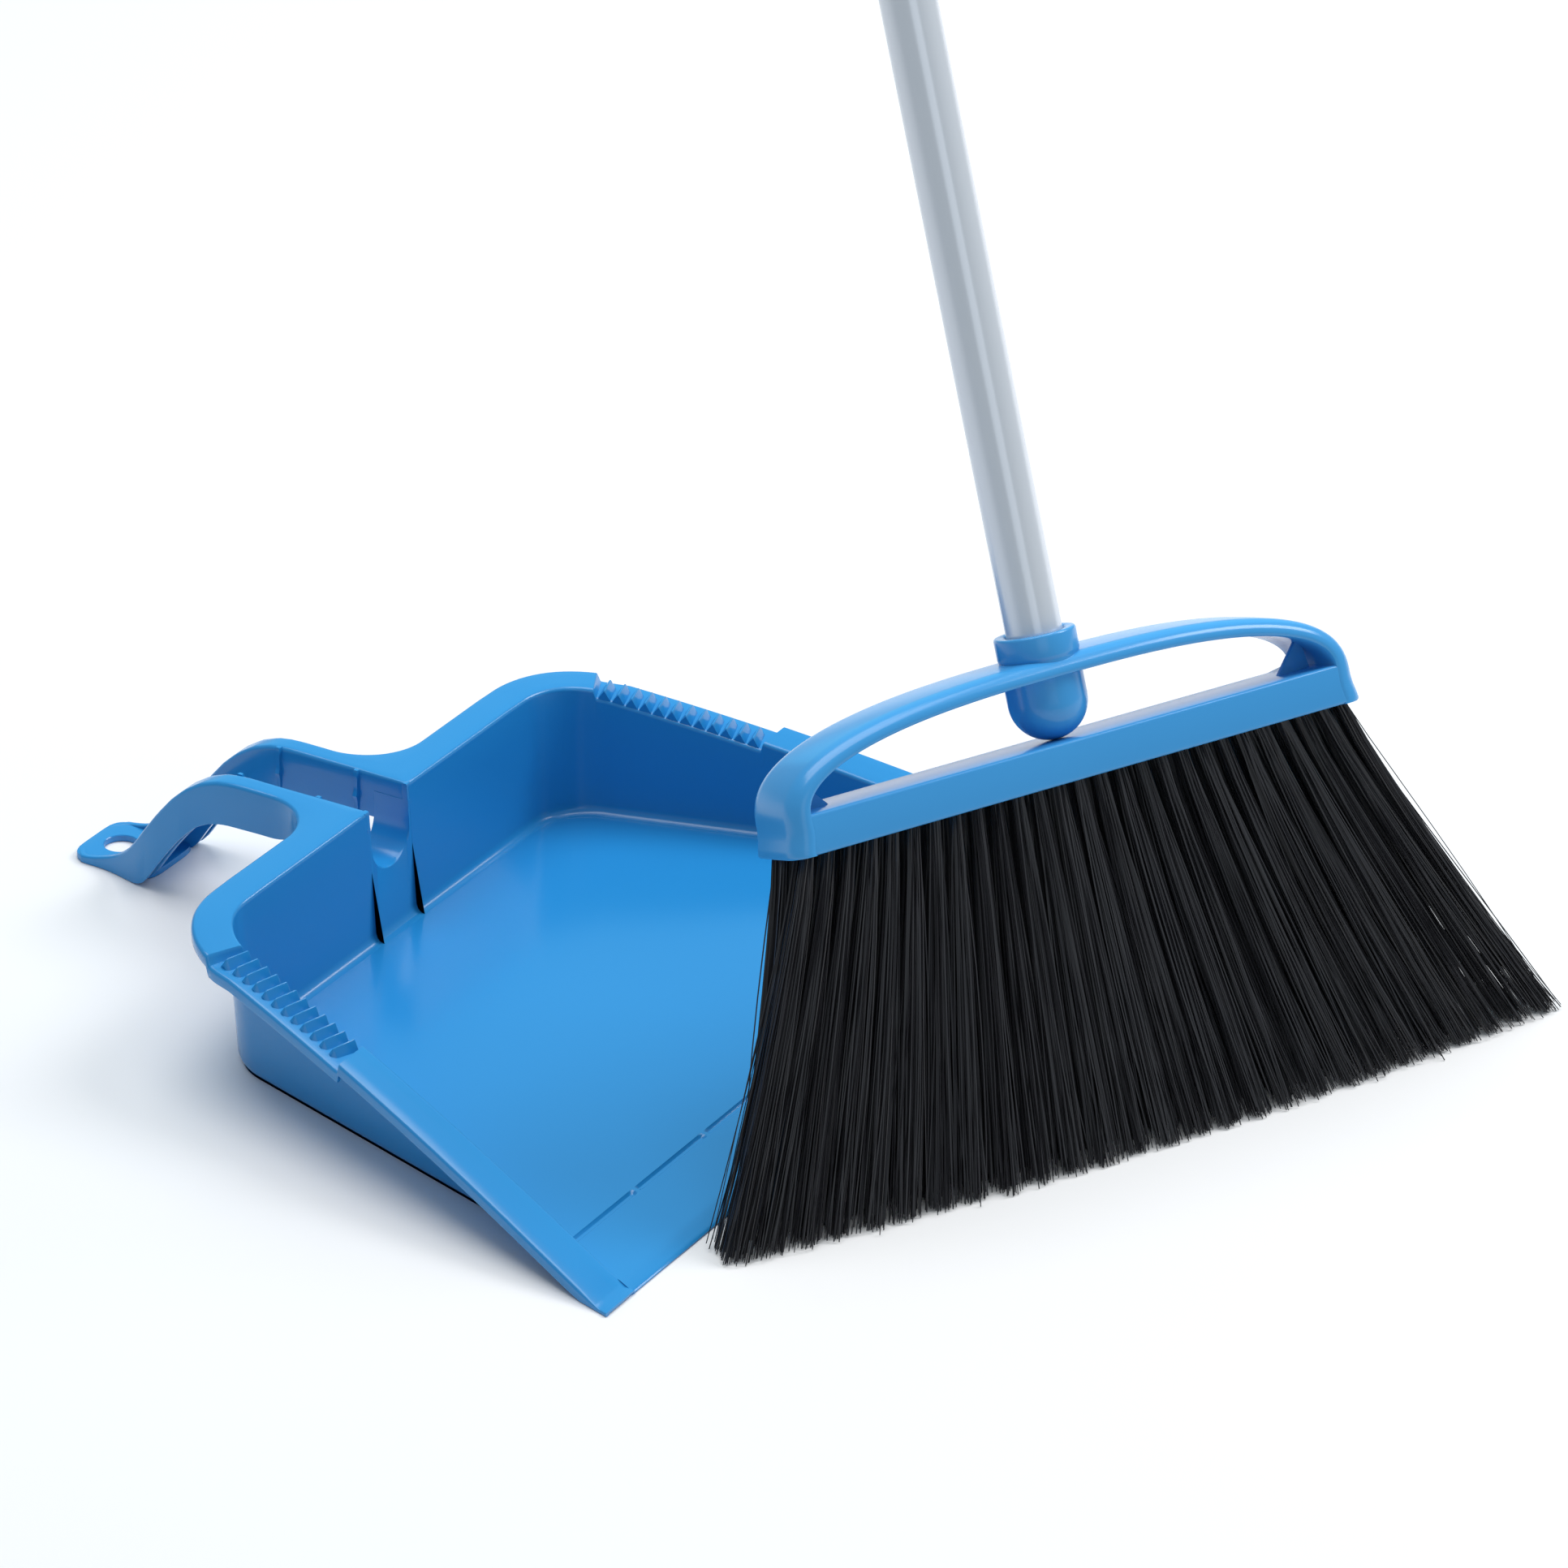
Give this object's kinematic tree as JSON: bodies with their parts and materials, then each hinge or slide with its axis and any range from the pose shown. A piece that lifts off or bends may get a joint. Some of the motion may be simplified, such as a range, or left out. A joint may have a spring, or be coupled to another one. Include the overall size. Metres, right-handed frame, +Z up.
{
  "type": "dust pan and broom set",
  "caption": "Plastic dust pan with comb teeth and a clip handle, with a long-handled broom whose pole screws into an arched head.",
  "frame": {"origin": "on the underside of the pan, on its middle line, 100 mm behind the front lip", "axes": "+Z up; the pan opens towards -Y and its handle points to +Y; +X across the pan, to the right when it is seen from the lip"},
  "size_m": [0.4389, 0.5316, 1.176],
  "materials": {
    "pan_plastic": "gloss",
    "head_plastic": "gloss",
    "blade_rubber": "satin",
    "bristle": "satin",
    "anchor_wire": "satin",
    "pole_coating": "gloss",
    "plug_plastic": "matte"
  },
  "bodies": {
    "pan": {"pan_body": "pan_plastic"},
    "broom": {"broom_head": "head_plastic", "wiper_blade": "blade_rubber", "tufts_front_outer": "bristle", "tufts_front_inner": "bristle", "tufts_rear_inner": "bristle", "tufts_rear_outer": "bristle", "tuft_anchors": "anchor_wire"},
    "pole": {"pole_tube": "pole_coating"},
    "pole_fittings": {"pole_thread_plug": "plug_plastic", "pole_top_cap": "pan_plastic"}
  },
  "joints": [
    {"name": "broom_lift", "type": "slide", "parent": "pan", "child": "broom", "axis": [0, 0, 1], "range_m": [0, 0.5]},
    {"name": "pole_screw", "type": "slide", "parent": "broom", "child": "pole", "axis": [0.1767, 0.3394, 0.9239], "range_m": [0, 0.02]},
    {"name": "pole_turn", "type": "hinge", "parent": "pole", "child": "pole_fittings", "pos_m": [0.05233, -0.12597, 0.14967], "axis": [0.1767, 0.3394, 0.9239], "range_deg": [0, 1801]}
  ],
  "couplings": [
    {"joint": "pole_turn", "follows": "pole_screw", "rad_per_m": 1570.8}
  ]
}
